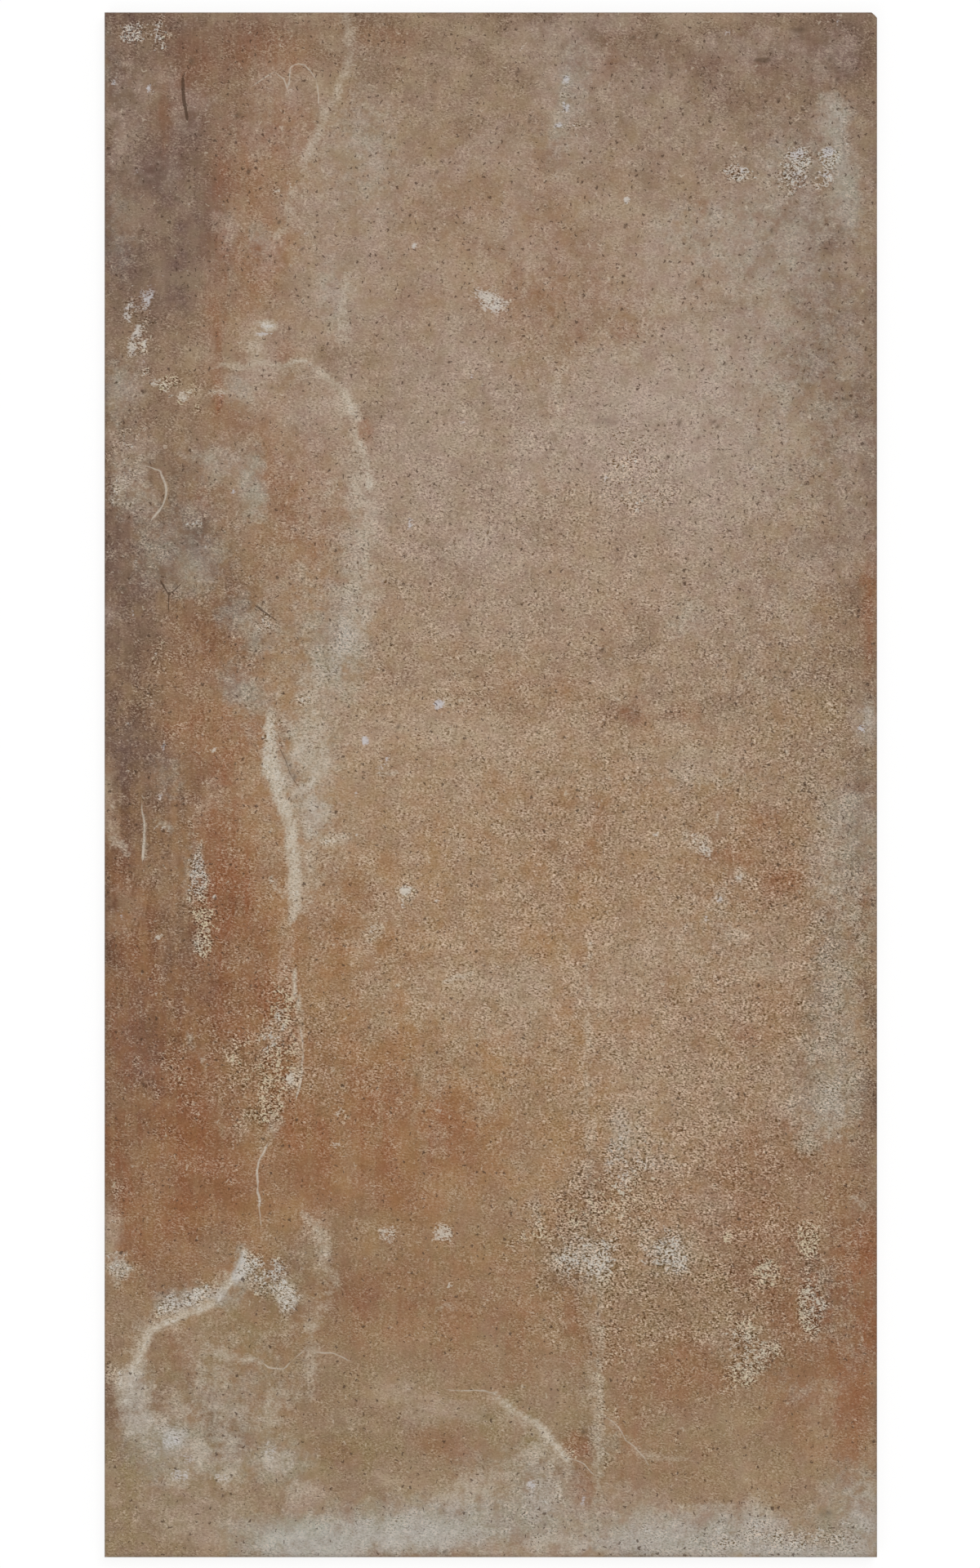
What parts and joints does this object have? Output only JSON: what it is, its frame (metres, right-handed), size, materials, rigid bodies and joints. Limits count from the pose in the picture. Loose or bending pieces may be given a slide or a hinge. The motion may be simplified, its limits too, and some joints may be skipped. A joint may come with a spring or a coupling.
{
  "type": "ceramic tile",
  "caption": "Flat rectangular floor tile with a worn terracotta-look face, finely bevelled ground edges and a ribbed back that keys into adhesive.",
  "frame": {"origin": "middle of the back, on the crowns of the ribs that the tile lies on", "axes": "+Z out of the face, +Y along the length, +X across the width towards the side with the nipped corner"},
  "size_m": [0.3, 0.6, 0.0095],
  "materials": {
    "fired_body": "matt unglazed-look face in mottled beige, orange-brown and smoky grey with worn white lime; beige-brown body"
  },
  "bodies": {
    "root": {"tile": "fired_body"}
  },
  "joints": []
}
